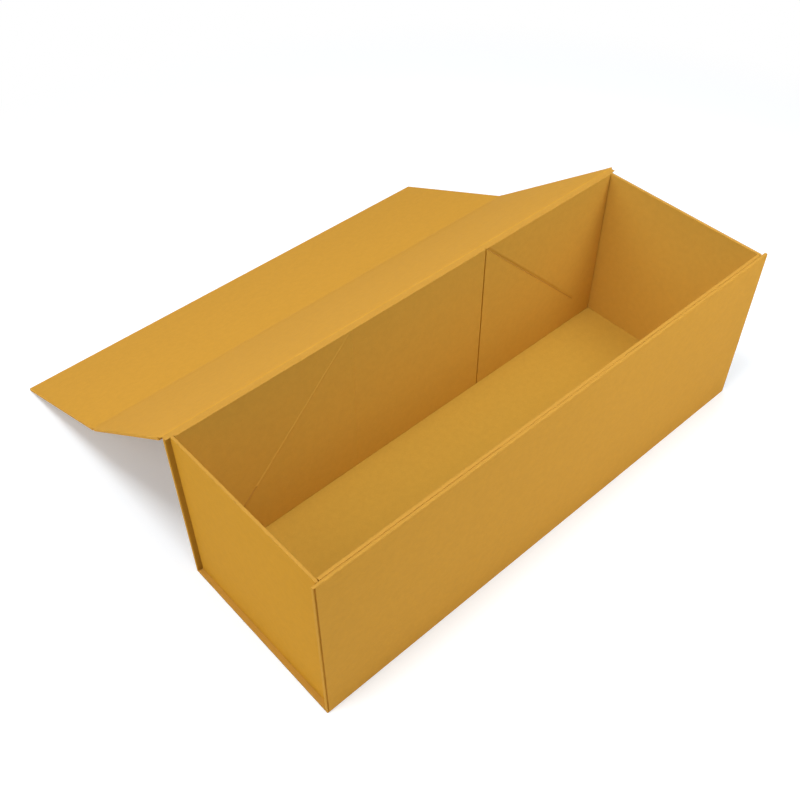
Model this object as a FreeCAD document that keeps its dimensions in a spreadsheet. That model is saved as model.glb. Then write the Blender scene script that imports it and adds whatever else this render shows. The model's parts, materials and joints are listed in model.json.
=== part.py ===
"""A fold-flat bottle box: a hinged shell of covered boards round a creased tray, lid laid open.

The shell is one strip of five boards in one paper cover: front, base, back, lid and closing flap.
The tray inside it has two end walls and two long walls whose end parts are creased on the
diagonal, so that the end walls can fold inwards when the box is collapsed.

Millimetres. +Z is up, +X runs along the box, and the front faces -Y. The origin is the middle of
the footprint, on the surface that the box stands on. The lid and flap are drawn in a frame of
their own, from their hinge line outwards, and then laid open.
"""
import FreeCAD, Part
import os
import Sketcher

DRIVING_SIZES = {
    "shell_length": 350.0,
    "shell_depth": 121.0,
    "shell_height": 119.0,
    "shell_board": 2.0,
    "end_overhang": 3.0,
    "end_wall": 1.8,
    "long_wall": 1.6,
    "wall_standoff": 0.4,
    "floor_card": 1.0,
    "crease_width": 1.0,
    "crease_depth": 0.5,
    "gap_width": 0.9,
    "gap_depth": 1.2,
    "edge_round": 0.4,
    "cover_paper": 0.4,
    "lid_clearance": 0.3,
    "flap_clearance": 0.3,
    "hinge_gap": 2.6,
    "fold_gap": 1.3,
    "lid_overhang": 1.5,
    "paper_start": 0.4,
    "flap_width": 112.0,
    "lid_open_angle": 37.3,
    "magnet_radius": 6.0,
    "magnet_thickness": 1.0,
    "magnet_height": 25.0,
    "magnet_spacing": 180.0,
    "magnet_play": 0.1,
}

# Derived sizes, as expressions on the sheet
HALF_LENGTH = "sizes.shell_length / 2"
HALF_DEPTH = "sizes.shell_depth / 2"
HEIGHT = "sizes.shell_height"
BOARD = "sizes.shell_board"
PAPER = "sizes.cover_paper"
TRAY_END = f"({HALF_LENGTH} - sizes.end_overhang)"
TRAY_SIDE = f"({HALF_DEPTH} - {BOARD})"
INNER_END = f"({TRAY_END} - sizes.end_wall)"
WALL_BACK = f"({TRAY_SIDE} - sizes.wall_standoff)"
INNER_SIDE = f"({WALL_BACK} - sizes.long_wall)"
# The crease square is as long as the long wall is high, so its diagonal runs at 45 degrees
CREASE_END = f"({INNER_END} - ({HEIGHT} - {BOARD}))"
HALF_CREASE = "sizes.crease_width / sqrt(2)"
HALF_GAP = "sizes.gap_width / 2"
# The lid's hinge line runs along the back board's top outer edge
HINGE_Y = f"({HALF_DEPTH})"
HINGE_Z = f"({HEIGHT} + sizes.lid_clearance + {PAPER} / 2)"
# Hinge line to fold line: closed, the flap hangs just in front of the front board
LID_REACH = f"(sizes.shell_depth + sizes.flap_clearance + {PAPER} / 2)"
LID_ANGLE = "(sizes.lid_open_angle * 1deg)"
FOLD_Y = f"({HINGE_Y} + {LID_REACH} * cos({LID_ANGLE}))"
FOLD_Z = f"({HINGE_Z} - {LID_REACH} * sin({LID_ANGLE}))"
# The flap's outer face lies this far under its fold line, and its free edge rests on the floor
FACE_DROP = f"({BOARD} - {PAPER} / 2)"
FLAP_ANGLE = (
    f"(asin({FOLD_Z} / sqrt(sizes.flap_width ^ 2 + {FACE_DROP} ^ 2))"
    f" - atan({FACE_DROP} / sizes.flap_width))"
)
MAGNET_REACH = f"({HINGE_Z} - sizes.magnet_height)"
BOARD_MIDDLE = f"({PAPER} / 2 - {BOARD} / 2)"
# The lid and flap reach a little past the shell's ends
LID_LENGTH = "(sizes.shell_length + 2 * sizes.lid_overhang)"

doc = FreeCAD.newDocument("bottle_box")
sheet = doc.addObject("Spreadsheet::Sheet", "sizes")
for row, (alias, value) in enumerate(DRIVING_SIZES.items(), start=1):
    sheet.set(f"A{row}", alias.replace("_", " "))
    sheet.set(f"B{row}", str(value))
    sheet.setAlias(f"B{row}", alias)
doc.recompute()

sub_parts = []


def number(expression):
    """What an expression on the sheet comes to, as a plain number."""
    value = sheet.evalExpression(expression)
    return float(getattr(value, "Value", value))


def new_body(label):
    """A body for one sub-part, whose label is its file's name."""
    body = doc.addObject("PartDesign::Body", label)
    body.Label = label
    sub_parts.append(body)
    doc.recompute()
    return body


def sketch_on(body, role, name, offset="0"):
    """An empty sketch on one of the body's own origin planes, moved along its normal."""
    plane = next(f for f in body.Origin.OriginFeatures if f.Role == role)
    sketch = body.newObject("Sketcher::SketchObject", name)
    sketch.AttachmentSupport = (plane, [""])
    sketch.MapMode = "FlatFace"
    sketch.setExpression("AttachmentOffset.Base.z", offset)
    return sketch


def tie_point(sketch, geometry, point, name, across, up):
    """Ties one point of a sketch to two expressions, measured from the sketch's origin."""
    for kind, expression in (("DistanceX", across), ("DistanceY", up)):
        value = number(expression)
        index = sketch.addConstraint(Sketcher.Constraint(kind, -1, 1, geometry, point, value))
        constraint = name + kind[-1]
        sketch.renameConstraint(index, constraint)
        sketch.setExpression("Constraints." + constraint, expression)


def outline(sketch, corners):
    """A closed outline with each corner tied to the sheet."""
    places = [FreeCAD.Vector(number(across), number(up), 0) for across, up in corners]
    count = len(corners)
    for i in range(count):
        sketch.addGeometry(Part.LineSegment(places[i], places[(i + 1) % count]), False)
    for i in range(count):
        sketch.addConstraint(Sketcher.Constraint("Coincident", i, 2, (i + 1) % count, 1))
    for i, (across, up) in enumerate(corners):
        tie_point(sketch, i, 1, f"corner{i}", across, up)


def rectangle(sketch, left, right, low, high):
    outline(sketch, [(left, low), (right, low), (right, high), (left, high)])


def circle(sketch, across, up, radius, index=0):
    """A circle with its centre and radius tied to the sheet."""
    centre = FreeCAD.Vector(number(across), number(up), 0)
    geometry = sketch.addGeometry(Part.Circle(centre, FreeCAD.Vector(0, 0, 1), number(radius)), False)
    tie_point(sketch, geometry, 3, f"centre{index}", across, up)
    tie = sketch.addConstraint(Sketcher.Constraint("Radius", geometry, number(radius)))
    sketch.renameConstraint(tie, f"radius{index}")
    sketch.setExpression(f"Constraints.radius{index}", radius)


def pad(body, sketch, name, length, midplane=False):
    feature = body.newObject("PartDesign::Pad", name)
    feature.Profile = sketch
    feature.Midplane = midplane
    feature.setExpression("Length", length)
    doc.recompute()
    return feature


def pocket(body, sketch, name, depth, midplane=False, reverse=False):
    """A pocket, with a test that it took something away."""
    before = body.Shape.Volume
    feature = body.newObject("PartDesign::Pocket", name)
    feature.Profile = sketch
    feature.Midplane = midplane
    feature.Reversed = reverse
    feature.setExpression("Length", depth)
    doc.recompute()
    if not feature.Shape.Volume < before:
        raise RuntimeError(f"{body.Label}: {name} cuts nothing")
    return feature


def round_edges(body, feature, across):
    """The paper folds over the edges of a board's two faces and rounds them. Its corners stay sharp."""
    rounding = body.newObject("PartDesign::Fillet", "PaperRound")
    folded = []
    for index, edge in enumerate(feature.Shape.Edges, start=1):
        if abs(edge.tangentAt(edge.FirstParameter).dot(across)) < 0.5:
            folded.append(f"Edge{index}")
    rounding.Base = (feature, folded)
    rounding.setExpression("Radius", "sizes.edge_round")
    doc.recompute()
    return rounding


def level_board(label, half_length, half_depth, underside, thickness):
    """A board that lies flat, centred on the origin."""
    body = new_body(label)
    sketch = sketch_on(body, "XY_Plane", "Outline", underside)
    rectangle(sketch, f"-{half_length}", half_length, f"-{half_depth}", half_depth)
    round_edges(body, pad(body, sketch, "Board", thickness), FreeCAD.Vector(0, 0, 1))
    return body


def long_board(label, half_length, low, high, far_side, thickness):
    """An upright board along X. far_side is its +Y face, and the XZ plane's normal is -Y."""
    body = new_body(label)
    sketch = sketch_on(body, "XZ_Plane", "Outline", f"-({far_side})")
    rectangle(sketch, f"-{half_length}", half_length, low, high)
    round_edges(body, pad(body, sketch, "Board", thickness), FreeCAD.Vector(0, 1, 0))
    return body


def end_board(label, near_side):
    """An upright end wall of the tray, between the shell's front and back boards."""
    body = new_body(label)
    sketch = sketch_on(body, "YZ_Plane", "Outline", near_side)
    rectangle(sketch, f"-{TRAY_SIDE}", TRAY_SIDE, BOARD, HEIGHT)
    round_edges(body, pad(body, sketch, "Board", "sizes.end_wall"), FreeCAD.Vector(1, 0, 0))
    return body


def crease(body, name, inner_face, reverse, corners, depth):
    """A scored line, cut into the tray wall's inner face."""
    sketch = sketch_on(body, "XZ_Plane", name + "Line", f"-({inner_face})")
    outline(sketch, corners)
    pocket(body, sketch, name, depth, reverse=reverse)


def tray_long_wall(label, front):
    """A long wall of the tray: its middle is glued to the shell, its ends are free gussets."""
    far_side = f"-{INNER_SIDE}" if front else WALL_BACK
    inner_face = f"-{INNER_SIDE}" if front else INNER_SIDE
    body = long_board(label, INNER_END, BOARD, HEIGHT, far_side, "sizes.long_wall")
    glued_face = f"-{WALL_BACK}" if front else TRAY_SIDE
    sketch = sketch_on(body, "XZ_Plane", "GlueOutline", f"-({glued_face})")
    low, high = f"({BOARD} + sizes.edge_round)", f"({HEIGHT} - sizes.edge_round)"
    rectangle(sketch, f"-{CREASE_END}", CREASE_END, low, high)
    pad(body, sketch, "GluedMiddle", "sizes.wall_standoff")
    for side, sign in (("Left", "-"), ("Right", "")):
        foot, top = f"{sign}{INNER_END}", f"{sign}{CREASE_END}"
        gap = [(f"{top} - {HALF_GAP}", BOARD), (f"{top} + {HALF_GAP}", BOARD),
               (f"{top} + {HALF_GAP}", HEIGHT), (f"{top} - {HALF_GAP}", HEIGHT)]
        crease(body, side + "Gap", inner_face, front, gap, "sizes.gap_depth")
        diagonal = [(f"{foot} - {HALF_CREASE}", BOARD), (f"{foot} + {HALF_CREASE}", BOARD),
                    (f"{top} + {HALF_CREASE}", HEIGHT), (f"{top} - {HALF_CREASE}", HEIGHT)]
        crease(body, side + "Diagonal", inner_face, front, diagonal, "sizes.crease_depth")
    return body


def place(body, y, z, angle):
    """Hangs a body on its hinge line, turned down about +X."""
    body.Placement = FreeCAD.Placement(
        FreeCAD.Vector(0, number(y), number(z)),
        FreeCAD.Rotation(FreeCAD.Vector(1, 0, 0), -number(angle)),
    )
    body.setExpression("Placement.Base.y", y)
    body.setExpression("Placement.Base.z", z)
    body.setExpression("Placement.Rotation.Angle", f"-{angle}")
    doc.recompute()


def hinged_board(label, start, end, papers, y, z, angle):
    """A covered board from start to end off its hinge line, with the bare paper of its hinges."""
    body = new_body(label)
    sketch = sketch_on(body, "YZ_Plane", "Section")
    rectangle(sketch, start, end, f"-{FACE_DROP}", f"{PAPER} / 2")
    board = pad(body, sketch, "Board", LID_LENGTH, midplane=True)
    round_edges(body, board, FreeCAD.Vector(0, 0, 1))
    for name, near, far in papers:
        strip = sketch_on(body, "YZ_Plane", name + "Section")
        rectangle(strip, near, far, f"-{PAPER} / 2", f"{PAPER} / 2")
        pad(body, strip, name, f"{LID_LENGTH} - 2 * sizes.edge_round", midplane=True)
    place(body, y, z, angle)
    return body


def magnet(label, plane, x, up, face):
    """A disc magnet, padded from its face along the plane's normal."""
    body = new_body(label)
    sketch = sketch_on(body, plane, "Disc", face)
    circle(sketch, x, up, "sizes.magnet_radius")
    pad(body, sketch, "Magnet", "sizes.magnet_thickness")
    return body


def magnet_seats(body, plane, up, middle):
    """Two sealed seats for disc magnets, inside a covered board."""
    sketch = sketch_on(body, plane, "SeatDiscs", middle)
    for index, sign in enumerate(("-", "")):
        seat_radius = "sizes.magnet_radius + sizes.magnet_play"
        circle(sketch, f"{sign}sizes.magnet_spacing / 2", up, seat_radius, index)
    pocket(body, sketch, "MagnetSeats", "sizes.magnet_thickness", midplane=True)


# The shell: base, back and front
level_board("base_panel", HALF_LENGTH, TRAY_SIDE, "0", BOARD)
long_board("back_panel", HALF_LENGTH, "0", HEIGHT, HALF_DEPTH, BOARD)
front_panel = long_board("front_panel", HALF_LENGTH, "0", HEIGHT, f"-{TRAY_SIDE}", BOARD)

# The tray: floor, ends and creased long walls
level_board("tray_floor", INNER_END, INNER_SIDE, BOARD, "sizes.floor_card")
end_board("left_end_wall", f"-{TRAY_END}")
end_board("right_end_wall", INNER_END)
tray_long_wall("inner_back_wall", front=False)
tray_long_wall("inner_front_wall", front=True)

# The lid, from its hinge line to its fold line, and the flap beyond it
lid_papers = [
    ("HingePaper", "sizes.paper_start", f"sizes.hinge_gap + {BOARD}"),
    ("FoldPaper", f"{LID_REACH} - sizes.fold_gap - {BOARD}", f"{LID_REACH} - sizes.paper_start"),
]
hinged_board("lid_panel", "sizes.hinge_gap", f"{LID_REACH} - sizes.fold_gap", lid_papers,
             HINGE_Y, HINGE_Z, LID_ANGLE)
flap_papers = [("FoldPaper", "sizes.paper_start", f"sizes.fold_gap + {BOARD}")]
flap_panel = hinged_board("flap_panel", "sizes.fold_gap", "sizes.flap_width", flap_papers,
                          FOLD_Y, FOLD_Z, FLAP_ANGLE)

# The closure: two magnets sealed in the flap, which meet two in the front board
magnet_seats(flap_panel, "XY_Plane", MAGNET_REACH, BOARD_MIDDLE)
magnet_seats(front_panel, "XZ_Plane", "sizes.magnet_height", f"({TRAY_SIDE} + {BOARD} / 2)")
for side, sign in (("left", "-"), ("right", "")):
    magnet_x = f"{sign}sizes.magnet_spacing / 2"
    underside = f"({BOARD_MIDDLE} - sizes.magnet_thickness / 2)"
    flap_magnet = magnet(f"flap_magnet_{side}", "XY_Plane", magnet_x, MAGNET_REACH, underside)
    place(flap_magnet, FOLD_Y, FOLD_Z, FLAP_ANGLE)
    inner_face = f"({TRAY_SIDE} + {BOARD} / 2 - sizes.magnet_thickness / 2)"
    magnet(f"front_magnet_{side}", "XZ_Plane", magnet_x, "sizes.magnet_height", inner_face)

doc.recompute()
for item in doc.Objects:
    if "Invalid" in item.State or "Error" in item.State:
        raise RuntimeError(f"{item.Label} failed: {item.State}")
for body in sub_parts:
    if body.Shape.isNull() or not body.Shape.isValid() or len(body.Shape.Solids) != 1:
        raise RuntimeError(f"{body.Label} isn't one valid solid")

os.makedirs("parts", exist_ok=True)
for body in sub_parts:
    body.Shape.exportStep(f"parts/{body.Label}.step")
    print(f"{body.Label:18s} {body.Shape.Volume / 1000:8.2f} cm3")
print("lid hinge line", number(HINGE_Y), number(HINGE_Z))
print("fold line", number(FOLD_Y), number(FOLD_Z), "flap angle", number(FLAP_ANGLE))
print("crease tops at x", number(CREASE_END), "tray inside", 2 * number(INNER_END), 2 * number(INNER_SIDE))
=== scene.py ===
# %% [markdown]
# # A bottle box with its lid laid open
# This lesson dresses a long box of paper-covered board. The boards, the folds and the sizes come
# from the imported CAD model, and Blender adds what the eye sees: soft wrapped edges, pressed crease
# lines, the bare paper of the hinges, and a matt ochre cover paper with a fine grain.

# %% Load the frame
import json
import math
import bpy
import bmesh
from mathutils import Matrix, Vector


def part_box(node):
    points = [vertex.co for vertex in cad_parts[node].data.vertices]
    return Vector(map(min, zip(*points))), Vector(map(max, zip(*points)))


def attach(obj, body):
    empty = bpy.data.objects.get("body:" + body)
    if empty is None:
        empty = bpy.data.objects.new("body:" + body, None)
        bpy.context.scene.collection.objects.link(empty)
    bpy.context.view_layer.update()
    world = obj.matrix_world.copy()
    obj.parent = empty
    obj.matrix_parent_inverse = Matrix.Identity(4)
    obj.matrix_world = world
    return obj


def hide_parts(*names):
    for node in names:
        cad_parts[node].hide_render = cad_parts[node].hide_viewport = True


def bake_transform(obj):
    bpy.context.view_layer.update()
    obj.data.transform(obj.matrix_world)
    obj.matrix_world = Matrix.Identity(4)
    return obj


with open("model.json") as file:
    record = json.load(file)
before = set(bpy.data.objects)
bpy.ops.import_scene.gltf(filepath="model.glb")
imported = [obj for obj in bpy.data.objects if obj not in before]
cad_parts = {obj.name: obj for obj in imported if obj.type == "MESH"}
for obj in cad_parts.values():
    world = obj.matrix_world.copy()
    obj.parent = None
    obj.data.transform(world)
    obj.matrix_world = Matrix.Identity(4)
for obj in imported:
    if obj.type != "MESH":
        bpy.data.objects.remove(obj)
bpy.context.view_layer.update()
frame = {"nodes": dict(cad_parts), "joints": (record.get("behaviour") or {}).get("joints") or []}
MM = 0.001

# %% [markdown]
# ## Sizes
# The same few lengths come back on many pieces, so they get names, in millimetres. X runs along
# the box, Y from its front to its back, and Z up from the floor. The box stands in the middle, so
# the lengths along X and Y are counted from there.

# %% Lengths that come back
HALF_LENGTH = 175.0                 # shell, to an end
HALF_DEPTH = 60.5                   # shell, to the outside of the front or back board
HEIGHT = 119.0                      # shell, to the top edges
BOARD = 2.0                         # thickness of the shell's boards
INSIDE = HALF_DEPTH - BOARD         # to the inside of the front or back board
END_OUTSIDE = 172.0                 # to the outside of an end wall
END_INSIDE = 170.2                  # to the inside of an end wall
LID_HALF_LENGTH = 176.5             # lid and flap, to an end
print("shell", 2 * HALF_LENGTH, "x", 2 * HALF_DEPTH, "x", HEIGHT, "mm")

# %% [markdown]
# ## Camera
# The camera comes first, because it decides which details show. Its place was worked out from the
# corners of the box in the photograph: front left, half a metre up, with a lens just short of
# 50 mm. It has no shift, so the other views stay centred.

# %% The camera
camera_data = bpy.data.cameras.new("camera")
camera_data.sensor_width = 36.0
camera_data.lens = 45.47
camera = bpy.data.objects.new("camera", camera_data)
camera.location = (-0.30995, -0.26800, 0.50126)
camera.rotation_euler = [math.radians(a) for a in (43.234, 0.141, -42.185)]
bpy.context.scene.collection.objects.link(camera)
bpy.context.scene.camera = camera
print("camera at", tuple(round(c, 3) for c in camera.location))

# %% [markdown]
# ## White background
# The photograph's background is plain white, but white light from all around would flood the box.
# So the white is kept for the rays that look for a background: those of the camera, and those that
# go on from a glossy or a clear surface. All other rays meet a faint fill.

# %% The world
WHITE = (1, 1, 1, 1)


def surface(nodes, kind, **values):
    shader = nodes.new(kind)
    for name, value in values.items():
        shader.inputs[name].default_value = value
    return shader.outputs[0]


def combine(nodes, links, operation, first, second):
    step = nodes.new("ShaderNodeMath")
    step.operation = operation
    links.new(first, step.inputs[0])
    links.new(second, step.inputs[1])
    return step.outputs[0]


def mixed(nodes, links, share, first, second):
    mix = nodes.new("ShaderNodeMixShader")
    for source, socket in zip((share, first, second), mix.inputs):
        links.new(source, socket)
    return mix.outputs[0]


def background_rays(nodes, links):
    path = nodes.new("ShaderNodeLightPath").outputs
    either = combine(nodes, links, "MAXIMUM", path["Is Camera Ray"], path["Is Glossy Ray"])
    return combine(nodes, links, "MAXIMUM", either, path["Is Transmission Ray"])


scene = bpy.context.scene
scene.view_settings.view_transform = "Standard"
world = bpy.data.worlds.new("studio")
scene.world = world
world.use_nodes = True
nodes, links = world.node_tree.nodes, world.node_tree.links
nodes.clear()
fill = surface(nodes, "ShaderNodeBackground", Color=WHITE, Strength=0.04)
white = surface(nodes, "ShaderNodeBackground", Color=WHITE, Strength=1.0)
world_out = nodes.new("ShaderNodeOutputWorld")
links.new(mixed(nodes, links, background_rays(nodes, links), fill, white), world_out.inputs[0])
print("world", world.name)

# %% [markdown]
# ## Light
# The photograph looks as if it was taken in a bright tent: every side is lit, there are no hard
# shadows, and only the front darkens towards its left end. A few large soft lamps and some smaller
# ones do this. Their strengths are kept at the level at which a colour renders about as written.

# %% Lamps
LAMP_AIM = Vector((0, 0.03, 0.06))


def lamp(name, place, width, watts):
    data = bpy.data.lights.new(name, "AREA")
    data.shape = "SQUARE"
    data.size = width
    data.energy = watts
    light = bpy.data.objects.new(name, data)
    light.location = place
    aim = LAMP_AIM - Vector(place)
    light.rotation_euler = aim.to_track_quat("-Z", "Y").to_euler()
    scene.collection.objects.link(light)
    print("lamp", name, watts, "W")


lamp("left_high", (-1.1, 0.0, 1.1), 0.9, 4.6)
lamp("left", (-1.2, 0.2, 0.5), 0.6, 3.2)
lamp("top_back", (-0.3, 1.0, 1.3), 0.9, 7.3)
lamp("top_front", (0.0, -1.0, 1.3), 0.9, 5.8)
lamp("top", (-0.3, 0.0, 1.2), 0.25, 5.4)
lamp("top_right", (0.35, -0.45, 0.9), 0.3, 1.4)
lamp("right_over", (0.3, 0.15, 0.7), 0.3, 1.0)
lamp("near_front", (0.25, -0.4, 0.45), 0.25, 0.9)
lamp("near_front_low", (0.25, -0.45, 0.3), 0.2, 0.25)

# %% [markdown]
# ## Floor
# The box stands on a white sheet. To the rays that look for a background the sheet is lifted a
# little towards white, and away from the box it fades to plain white, so that no horizon shows in
# a low view. Near the box it still takes the shadow of the lid. All other rays meet a plain matt
# sheet.

# %% The floor
FADE_START, FADE_END = 0.42, 0.62   # metres from the middle of the box
bpy.ops.object.select_all(action="DESELECT")
bpy.ops.mesh.primitive_plane_add(size=6.0, location=(0, 0, -0.2 * MM))
floor = bpy.context.object
floor.name = "floor"
sheet = bpy.data.materials.new("white_sheet")
sheet.use_nodes = True
nodes, links = sheet.node_tree.nodes, sheet.node_tree.links
nodes.clear()
matt = surface(nodes, "ShaderNodeBsdfDiffuse", Color=(0.85, 0.85, 0.85, 1))
seen = surface(nodes, "ShaderNodeBsdfDiffuse", Color=(0.85, 0.90, 0.95, 1))
lift = surface(nodes, "ShaderNodeEmission", Strength=0.18)
far = surface(nodes, "ShaderNodeEmission", Strength=1.0)
near = nodes.new("ShaderNodeAddShader")
links.new(seen, near.inputs[0])
links.new(lift, near.inputs[1])
where = nodes.new("ShaderNodeTexCoord")
distance = nodes.new("ShaderNodeVectorMath")
distance.operation = "LENGTH"
links.new(where.outputs["Object"], distance.inputs[0])
fade = nodes.new("ShaderNodeMapRange")
fade.interpolation_type = "SMOOTHSTEP"
fade.inputs["From Min"].default_value = FADE_START
fade.inputs["From Max"].default_value = FADE_END
links.new(distance.outputs["Value"], fade.inputs["Value"])
shown = mixed(nodes, links, fade.outputs["Result"], near.outputs[0], far)
sheet_out = nodes.new("ShaderNodeOutputMaterial")
links.new(mixed(nodes, links, background_rays(nodes, links), matt, shown), sheet_out.inputs[0])
floor.data.materials.append(sheet)
print("floor", floor.name, "with", sheet.name)

# %% [markdown]
# ## Cover paper
# The paper is uncoated and coloured through. Seen close, it has a cloudy mottle of a few
# millimetres, fine fibres, and a faint tooth that keeps it matt. Three noises on Object
# coordinates give these, so the grain has its real size on every piece and doesn't slide.
#
# It is one paper, and its shades only bring the render nearer to the photograph. Light that bounces
# inside the tray deepens the colour too much, so the tray's shades are paler. Top edges and the
# foot catch too much light, so theirs are deeper. The ends get less blue, and the narrow corner
# beside them is set darker, because the render has less shade there than the photograph.

# %% Paper material
def noise(nodes, links, coords, stretch, scale, detail):
    place = nodes.new("ShaderNodeMapping")
    place.inputs["Scale"].default_value = stretch
    grain = nodes.new("ShaderNodeTexNoise")
    grain.inputs["Scale"].default_value = scale
    grain.inputs["Detail"].default_value = detail
    links.new(coords.outputs["Object"], place.inputs["Vector"])
    links.new(place.outputs["Vector"], grain.inputs["Vector"])
    return grain.outputs["Fac"]


def spread(nodes, links, source, low, high):
    span = nodes.new("ShaderNodeMapRange")
    span.inputs["From Min"].default_value = 0.3
    span.inputs["From Max"].default_value = 0.7
    span.inputs["To Min"].default_value = low
    span.inputs["To Max"].default_value = high
    links.new(source, span.inputs["Value"])
    return span.outputs["Result"]


def cover_paper(name, colour):
    material = bpy.data.materials.new(name)
    material.use_nodes = True
    nodes, links = material.node_tree.nodes, material.node_tree.links
    shader = nodes["Principled BSDF"]
    coords = nodes.new("ShaderNodeTexCoord")
    mottle = noise(nodes, links, coords, stretch=(1, 1, 1), scale=260.0, detail=3.0)
    fibres = noise(nodes, links, coords, stretch=(0.3, 1, 1), scale=2600.0, detail=4.0)
    tooth = noise(nodes, links, coords, stretch=(1, 1, 1), scale=5200.0, detail=2.0)
    clouds = spread(nodes, links, mottle, low=0.975, high=1.02)
    threads = spread(nodes, links, fibres, low=0.955, high=1.03)
    tint = nodes.new("ShaderNodeVectorMath")
    tint.operation = "SCALE"
    tint.inputs[0].default_value = colour
    links.new(combine(nodes, links, "MULTIPLY", clouds, threads), tint.inputs["Scale"])
    links.new(tint.outputs[0], shader.inputs["Base Color"])
    links.new(spread(nodes, links, fibres, low=0.70, high=0.82), shader.inputs["Roughness"])
    bump = nodes.new("ShaderNodeBump")
    bump.inputs["Strength"].default_value = 0.25
    bump.inputs["Distance"].default_value = 0.06 * MM
    links.new(combine(nodes, links, "ADD", fibres, tooth), bump.inputs["Height"])
    links.new(bump.outputs["Normal"], shader.inputs["Normal"])
    shader.inputs["Specular IOR Level"].default_value = 0.07
    return material


shell_paper = cover_paper("ochre_shell_paper", (0.600, 0.306, 0.038))
# Painted light: a less blue copy for the outside of the end walls, to offset how light falls on
# them.
end_painted_light_paper = cover_paper("ochre_end_painted_light_paper", (0.605, 0.300, 0.022))
# Painted light: a paler copy for the tray's walls, set against the shade that light bouncing inside
# the tray adds.
tray_painted_light_paper = cover_paper("ochre_tray_painted_light_paper", (0.645, 0.382, 0.064))
# Painted shade: a deeper copy for top edges and the foot, which catch more light than the faces.
edge_painted_shade_paper = cover_paper("ochre_edge_painted_shade_paper", (0.480, 0.249, 0.039))
# Painted shade: a darker copy for the narrow recess beside the end walls.
corner_painted_shade_paper = cover_paper("ochre_corner_painted_shade_paper", (0.430, 0.225, 0.022))
# Painted light: a paler copy for the floor card, to offset the colour that light bouncing inside the
# tray adds.
card_painted_light_paper = cover_paper("ochre_painted_light_floor_card", (0.575, 0.345, 0.052))
print("papers", shell_paper.name, tray_painted_light_paper.name, edge_painted_shade_paper.name)

# %% [markdown]
# ## Nickel
# The magnets sealed in the flap and in the front board are plated discs. No one sees them while
# the box is whole, but they are real pieces, so they get a brushed nickel and not a paper.

# %% Nickel material
nickel = bpy.data.materials.new("nickel_plate")
nickel.use_nodes = True
nodes, links = nickel.node_tree.nodes, nickel.node_tree.links
shader = nodes["Principled BSDF"]
shader.inputs["Base Color"].default_value = (0.66, 0.63, 0.58, 1)
shader.inputs["Metallic"].default_value = 1.0
coords = nodes.new("ShaderNodeTexCoord")
brush = noise(nodes, links, coords, stretch=(1, 12, 12), scale=900.0, detail=3.0)
links.new(spread(nodes, links, brush, low=0.28, high=0.42), shader.inputs["Roughness"])
print("metal", nickel.name)

# %% [markdown]
# ## Tools for working by hand
# Every board starts as a cube of its own size, added in its own place. The helpers below open a
# piece in edit mode, pick points, edges or faces by where they are, and cut it along a plane.
# Every test gets its places in millimetres: p is a point, a and b are an edge's two ends, c is a
# face's middle and n the way the face looks.

# %% Edit mode helpers
def block(name, low, high):
    bpy.ops.object.select_all(action="DESELECT")
    middle = [(a + b) / 2 * MM for a, b in zip(low, high)]
    size = [(b - a) * MM for a, b in zip(low, high)]
    bpy.ops.mesh.primitive_cube_add(size=1.0, location=middle, scale=size)
    piece = bpy.context.object
    piece.name = piece.data.name = name
    bpy.ops.object.transform_apply(location=True, rotation=True, scale=True)
    return piece


def select_only(piece):
    bpy.ops.object.select_all(action="DESELECT")
    piece.select_set(True)
    bpy.context.view_layer.objects.active = piece


def open_piece(piece):
    select_only(piece)
    bpy.ops.object.mode_set(mode="EDIT")
    bpy.ops.mesh.select_all(action="DESELECT")


def close_piece():
    bpy.ops.object.mode_set(mode="OBJECT")


def pick_points(piece, test):
    bpy.ops.mesh.select_mode(type="VERT")
    bpy.ops.mesh.select_all(action="DESELECT")
    mesh = bmesh.from_edit_mesh(piece.data)
    for point in mesh.verts:
        point.select_set(test(point.co / MM))
    mesh.select_flush_mode()
    bmesh.update_edit_mesh(piece.data)


def pick_edges(piece, test):
    bpy.ops.mesh.select_mode(type="EDGE")
    bpy.ops.mesh.select_all(action="DESELECT")
    mesh = bmesh.from_edit_mesh(piece.data)
    for edge in mesh.edges:
        edge.select_set(test(edge.verts[0].co / MM, edge.verts[1].co / MM))
    bmesh.update_edit_mesh(piece.data)


def pick_faces(piece, test):
    bpy.ops.mesh.select_mode(type="FACE")
    bpy.ops.mesh.select_all(action="DESELECT")
    mesh = bmesh.from_edit_mesh(piece.data)
    for face in mesh.faces:
        face.select_set(test(face.calc_center_median() / MM, face.normal))
    bmesh.update_edit_mesh(piece.data)


def faces_up(c, n):
    return n.z > 0.3


def cut(piece, point, normal):
    bpy.ops.mesh.select_all(action="SELECT")
    bpy.ops.mesh.bisect(plane_co=[c * MM for c in point], plane_no=normal)


def cut_across(piece, places):
    for x in places:
        cut(piece, (x, 0, 0), (1, 0, 0))


def shift(x=0.0, y=0.0, z=0.0):
    bpy.ops.transform.translate(value=(x * MM, y * MM, z * MM))


def soften(piece, width):
    open_piece(piece)
    bpy.ops.mesh.select_all(action="SELECT")
    bpy.ops.mesh.bevel(offset=width * MM, segments=3, affect="EDGES")
    close_piece()


def finish_piece(piece, papers, slot, body, *nodes, smooth=10):
    select_only(piece)
    bpy.ops.object.shade_smooth_by_angle(angle=math.radians(smooth))
    piece.data.materials.clear()
    for paper in papers:
        piece.data.materials.append(paper)
    if body:
        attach(piece, body)
    if nodes:
        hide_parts(*nodes)
    print("made", piece.name, len(piece.data.polygons), "faces")


def cover(piece, paper, test):
    open_piece(piece)
    pick_faces(piece, test)
    piece.active_material_index = piece.data.materials.find(paper.name)
    bpy.ops.object.material_slot_assign()
    close_piece()


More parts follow.
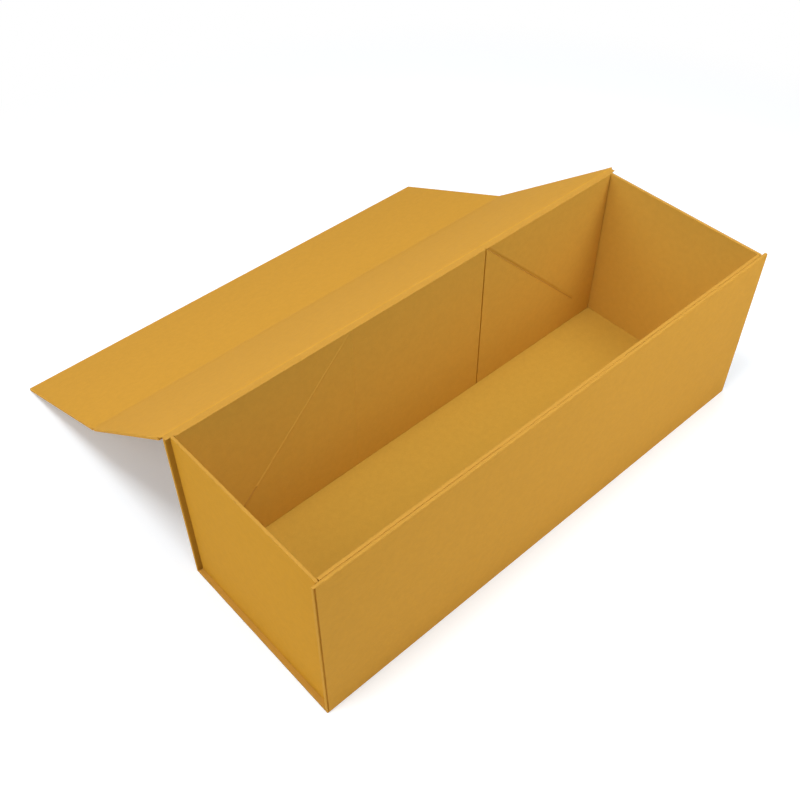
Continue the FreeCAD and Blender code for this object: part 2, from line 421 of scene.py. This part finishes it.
# %% [markdown]
# ## Pieces that stay as the CAD made them
# The floor card lies flat in the tray, and the imported solid has exactly that shape. It only needs
# the paper. The four magnets need their nickel. The other nodes get a paper too, although a
# finer piece takes their place further on.

# %% Dress the CAD nodes
# Painted light: the tray's walls and its floor card get paler copies of the paper.
for name, node in frame["nodes"].items():
    node.data.materials.clear()
    if "magnet" in name:
        node.data.materials.append(nickel)
    elif name == "tray_floor":
        node.data.materials.append(card_painted_light_paper)
    elif "wall" in name:
        node.data.materials.append(tray_painted_light_paper)
    else:
        node.data.materials.append(shell_paper)
print("dressed", len(frame["nodes"]), "nodes")

# %% [markdown]
# ## Base board and back board
# These two are plain covered boards. Each is a cube of the board's size whose edges are rounded
# with the bevel tool, because paper folded over a board never lies quite sharp. Both are cut across
# near their ends, so that the narrow parts outside the end walls can have shades of their own.

# %% Model the base and back boards
def plain_board(name, low, high):
    board = block(name, low, high)
    soften(board, 0.4)
    open_piece(board)
    cut_across(board, (-END_OUTSIDE, END_OUTSIDE))
    close_piece()
    return board


base_board = plain_board("base_board", (-HALF_LENGTH, -INSIDE, 0), (HALF_LENGTH, INSIDE, BOARD))
finish_piece(base_board, [shell_paper, edge_painted_shade_paper], "covered_board", "box", "base_panel")
# Painted shade: the foot outside each end wall gets the deeper copy.
cover(base_board, edge_painted_shade_paper, lambda c, n: abs(c.x) > END_OUTSIDE)
back_board = plain_board("back_board", (-HALF_LENGTH, INSIDE, 0),
                         (HALF_LENGTH, HALF_DEPTH, HEIGHT))
finish_piece(back_board, [shell_paper, edge_painted_shade_paper, corner_painted_shade_paper], "covered_board", "box",
             "back_panel")
# Painted shade: the inside of the back board beyond each end wall gets the darker copy.
cover(back_board, corner_painted_shade_paper, lambda c, n: n.y < -0.3 and abs(c.x) > END_OUTSIDE)
# Painted shade: the top gets the deeper copy.
cover(back_board, edge_painted_shade_paper, faces_up)

# %% [markdown]
# ## Front board
# The front board is wrapped in the cover paper. At its left end the turned paper leaves a narrow
# pressed line, just inside the corner. A cube is rounded along its edges, cut three times near
# that end, and the middle cut's points are pushed in. Two round seats for the magnets are taken
# out of its inside with a boolean. They are a hair larger than the magnets.

# %% Magnet seats
SEAT_RADIUS = 6.08
SEAT_DEPTH = 1.12


def seat(piece, magnet, axis):
    low, high = (Vector(c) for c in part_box(magnet))
    bpy.ops.object.select_all(action="DESELECT")
    bpy.ops.mesh.primitive_cylinder_add(vertices=48, radius=SEAT_RADIUS * MM,
                                        depth=SEAT_DEPTH * MM, location=(low + high) / 2)
    cutter = bpy.context.object
    cutter.rotation_euler = Vector(axis).to_track_quat("Z", "Y").to_euler()
    bpy.ops.object.transform_apply(location=True, rotation=True, scale=True)
    hollow = piece.modifiers.new("seat", "BOOLEAN")
    hollow.operation = "DIFFERENCE"
    hollow.solver = "EXACT"
    hollow.object = cutter
    select_only(piece)
    bpy.ops.object.modifier_apply(modifier=hollow.name)
    bpy.data.objects.remove(cutter)
    print("seat for", magnet)


# %% Model the front board
LINE = -174.1
LINE_DEPTH = 0.9
front_board = block("front_board", (-HALF_LENGTH, -HALF_DEPTH, 0), (HALF_LENGTH, -INSIDE, HEIGHT))
soften(front_board, 0.45)
open_piece(front_board)
cut_across(front_board, (LINE - 0.4, LINE, LINE + 0.5))
pick_points(front_board, lambda p: abs(p.x - LINE) < 0.02 and p.y < 0.2 - HALF_DEPTH)
shift(y=LINE_DEPTH)
close_piece()
for magnet in ("front_magnet_left", "front_magnet_right"):
    seat(front_board, magnet, (0, 1, 0))
finish_piece(front_board, [shell_paper, edge_painted_shade_paper], "covered_board", "box", "front_panel")
# Painted shade: the top edge gets the deeper copy.
cover(front_board, edge_painted_shade_paper, lambda c, n: faces_up(c, n) and c.z > HEIGHT / 2)

# %% [markdown]
# ## Lid and flap boards
# Both boards are modelled as if level, beside their fold line, and then turned about it with the
# rotate tool. The fold lines are the joints of the frame. The section is the same one that the CAD
# uses: the inner face stands 0.2 mm above the fold line and the outer face 1.8 mm below it, so that
# both lie flat when the box is shut.

# %% Fold lines and slopes
joints = {joint["name"]: joint for joint in frame["joints"]}
HINGE = [c / MM for c in joints["lid_hinge"]["pos_m"][1:]]
FOLD = [c / MM for c in joints["flap_hinge"]["pos_m"][1:]]
LID_SLOPE = math.radians(37.3)
FLAP_SLOPE = math.radians(23.254)
LID_LENGTH = 121.5                  # from the hinge line to the fold line
INNER_FACE, OUTER_FACE = 0.2, -1.8  # heights over the fold line


def beside(line, slope, along, above):
    return (line[0] + along * math.cos(slope) + above * math.sin(slope),
            line[1] - along * math.sin(slope) + above * math.cos(slope))


def on_lid(along, above):
    return beside(HINGE, LID_SLOPE, along, above)


def on_flap(along, above):
    return beside(FOLD, FLAP_SLOPE, along, above)


print("fold line", [round(c, 3) for c in FOLD], "and from the lid's side",
      [round(c, 3) for c in on_lid(LID_LENGTH, 0)])


# %% Model the lid and the flap
def sloping_board(name, line, slope, start, end):
    board = block(name, (-LID_HALF_LENGTH, line[0] + start, line[1] + OUTER_FACE),
                  (LID_HALF_LENGTH, line[0] + end, line[1] + INNER_FACE))
    soften(board, 0.45)
    open_piece(board)
    bpy.ops.mesh.select_all(action="SELECT")
    bpy.ops.transform.rotate(value=slope, orient_axis="X",
                             center_override=(0, line[0] * MM, line[1] * MM))
    close_piece()
    return board


lid_board = sloping_board("lid_board", HINGE, LID_SLOPE, start=2.6, end=120.2)
finish_piece(lid_board, [shell_paper], "covered_board", "lid", "lid_panel")
flap_board = sloping_board("flap_board", FOLD, FLAP_SLOPE, start=1.3, end=112.0)
for magnet in ("flap_magnet_left", "flap_magnet_right"):
    seat(flap_board, magnet, (0, math.sin(FLAP_SLOPE), math.cos(FLAP_SLOPE)))
finish_piece(flap_board, [shell_paper], "covered_board", "flap", "flap_panel")

# %% [markdown]
# ## Paper hinges
# Between the boards there is only paper: over the top of the back board to the lid, and from the
# lid to the flap. It lies flush on the boards and hides the gap.

# %% Paper strips
STRIP_THICKNESS = 0.3
START = 0.5                         # the first plane reaches this far from its middle


def in_frame(point):
    return (0, point[0] * MM, point[1] * MM)


def paper_strip(name, points, half_lengths):
    first, second = points[:2]
    reach = half_lengths[0]
    bpy.ops.object.select_all(action="DESELECT")
    bpy.ops.mesh.primitive_plane_add(size=2 * START * MM, location=in_frame(first))
    strip = bpy.context.object
    strip.name = strip.data.name = name
    bpy.ops.object.transform_apply(location=True, rotation=True, scale=True)
    open_piece(strip)
    pick_points(strip, lambda p: p.x < 0)
    shift(x=START - reach)
    pick_points(strip, lambda p: p.x > 0)
    shift(x=reach - START)
    pick_points(strip, lambda p: p.y < first[0])
    shift(y=START)
    pick_points(strip, lambda p: p.y > first[0] + START / 2)
    shift(y=second[0] - first[0] - START, z=second[1] - first[1])
    for last, point, half in zip(points[1:], points[2:], half_lengths[2:]):
        step = (0, (point[0] - last[0]) * MM, (point[1] - last[1]) * MM)
        bpy.ops.mesh.extrude_region_move(TRANSFORM_OT_translate={"value": step})
        bpy.ops.transform.resize(value=(half / reach, 1, 1), center_override=(0, 0, 0))
        reach = half
    close_piece()
    thickness = strip.modifiers.new("thickness", "SOLIDIFY")
    thickness.thickness = STRIP_THICKNESS * MM
    thickness.offset = -1.0
    bpy.ops.object.modifier_apply(modifier=thickness.name)
    print(name, len(points), "section points")
    return strip


# %% Model the hinge and fold papers
hinge_points = [(57.4, 119.06), (59.6, 119.12), (60.1, 119.22), (60.5, 119.36),
                on_lid(0.6, 0.12), on_lid(1.2, 0.2), on_lid(2.0, 0.25), on_lid(3.0, 0.27),
                on_lid(5.5, 0.25)]
hinge_paper = paper_strip("hinge_paper", hinge_points, [174.8] * 3 + [175.9] + [176.2] * 5)
finish_piece(hinge_paper, [shell_paper, edge_painted_shade_paper], "covered_board", None, smooth=35)
# Painted shade: the part over the back board's top gets the deeper copy.
cover(hinge_paper, edge_painted_shade_paper, lambda c, n: c.y < 60.4)
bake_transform(hinge_paper)
fold_points = [on_lid(117.4, 0.25), on_lid(119.6, 0.27), on_lid(120.5, 0.24), on_lid(121.1, 0.22),
               on_flap(0.0, 0.21), on_flap(0.4, 0.22), on_flap(1.0, 0.24), on_flap(2.0, 0.27),
               on_flap(4.2, 0.25)]
fold_paper = paper_strip("fold_paper", fold_points, [176.1] * 9)
finish_piece(fold_paper, [shell_paper], "covered_board", None, smooth=35)
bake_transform(fold_paper)

# %% [markdown]
# ## Creased walls of the tray
# The long walls of the tray fold so that the box can be put away flat. Each has an upright crease
# about 12 cm from either end, and a slanting crease from the foot of that end up to its top. A wall
# is a rounded slab, cut along every crease with the bisect tool. Pushing the points of a cut into
# the wall gives a groove, and pulling them out gives the raised line of a crease folded the other
# way. On the back wall the right slanting crease is pressed only in its upper part, so it fades
# before the corner. The middle of a wall is glued to the board, so there it is a little thicker.

# %% Creased wall
WALL_FACE = 56.5                    # to the inside of a long wall
WALL_OUTSIDE = WALL_FACE + 1.9
WALL_END = 169.8                    # to an end of a long wall
CREASE = 53.2                       # to an upright crease
GLUED = 52.0                        # to an end of the glued middle
UPRIGHT_CUTS = (-53.9, -CREASE, -52.8, 52.7, 52.9, 53.5, 53.7)
SLANT_CUTS = ((-1, (-0.9, 0.0, 0.35)), (1, (-1.9, -0.5, 0.1, 0.8)))
LEVEL_CUTS = (24, 44)


def creased_wall(name, side):
    near, far = sorted((side * WALL_FACE, side * WALL_OUTSIDE))
    wall = block(name, (-WALL_END, near, BOARD), (WALL_END, far, HEIGHT))
    soften(wall, 0.15)
    open_piece(wall)
    cut_across(wall, UPRIGHT_CUTS)
    for end, offsets in SLANT_CUTS:
        for offset in offsets:
            foot = END_INSIDE - offset * math.sqrt(2)
            cut(wall, (end * foot, 0, BOARD), (end, 0, 1))
    for z in LEVEL_CUTS:
        cut(wall, (0, 0, z), (0, 0, 1))
    pick_faces(wall, lambda c, n: abs(c.x) < GLUED and n.y * side > 0.9)
    bpy.ops.mesh.extrude_region_move(TRANSFORM_OT_translate={"value": (0, side * 0.1 * MM, 0)})
    close_piece()
    return wall


def upright(middle, near):
    return lambda p: abs(p.x - middle) < near


def slanting(end, offset, beyond, above=0):
    def test(p):
        across = ((END_INSIDE - end * p.x) - (p.z - BOARD)) / math.sqrt(2)
        return end * p.x > beyond and p.z > above and abs(across - offset) < 0.03
    return test


def press(wall, side, test, depth, reach=0.02):
    pick_points(wall, lambda p: abs(p.y - side * WALL_FACE) < reach and test(p))
    shift(y=side * depth)


# %% Model the two creased walls
creased_back = creased_wall("creased_back_wall", 1)
open_piece(creased_back)
press(creased_back, 1, upright(CREASE, near=0.4), depth=1.2, reach=0.4)
press(creased_back, 1, upright(-CREASE, near=0.1), depth=-0.25)
press(creased_back, 1, slanting(-1, 0.0, beyond=54.2), depth=-0.45)
press(creased_back, 1, slanting(1, -0.5, beyond=53.8, above=40), depth=0.55)
press(creased_back, 1, slanting(1, 0.1, beyond=53.8, above=40), depth=-0.25)
close_piece()
# Painted light and shade: the wall's faces get the paler copy, its top the deeper one.
finish_piece(creased_back, [tray_painted_light_paper, edge_painted_shade_paper], "tray_board", "box", "inner_back_wall")
cover(creased_back, edge_painted_shade_paper, faces_up)
creased_front = creased_wall("creased_front_wall", -1)
open_piece(creased_front)
press(creased_front, -1, upright(CREASE, near=0.4), depth=1.0)
press(creased_front, -1, upright(-CREASE, near=0.1), depth=-0.25)
press(creased_front, -1, slanting(-1, 0.0, beyond=54.2), depth=-0.35)
press(creased_front, -1, slanting(1, -0.5, beyond=53.8), depth=0.55)
close_piece()
# Painted light and shade: the wall's faces get the paler copy, its top the deeper one.
finish_piece(creased_front, [tray_painted_light_paper, edge_painted_shade_paper], "tray_board", "box", "inner_front_wall")
cover(creased_front, edge_painted_shade_paper, faces_up)

# %% [markdown]
# ## End walls of the tray
# The end walls stand between the long boards, set back from their ends. Their upright corners
# fold from the long walls, so they are rounder than the cut edges, and a thin dark line shows
# where one meets the back board: partly the shade of that rounding, partly a painted shade on the
# inside of the back board beyond the end wall.

# %% Model the end walls
def end_wall(name, end, node):
    low, high = sorted((end * END_INSIDE, end * END_OUTSIDE))
    wall = block(name, (low, -INSIDE, BOARD), (high, INSIDE, HEIGHT))
    open_piece(wall)
    pick_edges(wall, lambda a, b: abs(a.z - b.z) > HEIGHT / 2)
    bpy.ops.mesh.bevel(offset=0.7 * MM, segments=4, affect="EDGES")
    pick_edges(wall, lambda a, b: abs(a.z - b.z) < 0.01 and a.z > HEIGHT / 2)
    bpy.ops.mesh.bevel(offset=0.3 * MM, segments=3, affect="EDGES")
    close_piece()
    # Painted light and shade: paler copy inside, less blue copy outside, deeper copy on top.
    finish_piece(wall, [tray_painted_light_paper, end_painted_light_paper, edge_painted_shade_paper], "tray_board", "box", node)
    cover(wall, end_painted_light_paper, lambda c, n: end * n.x > 0.3)
    cover(wall, edge_painted_shade_paper, faces_up)


end_wall("folded_left_end", -1, "left_end_wall")
end_wall("folded_right_end", 1, "right_end_wall")
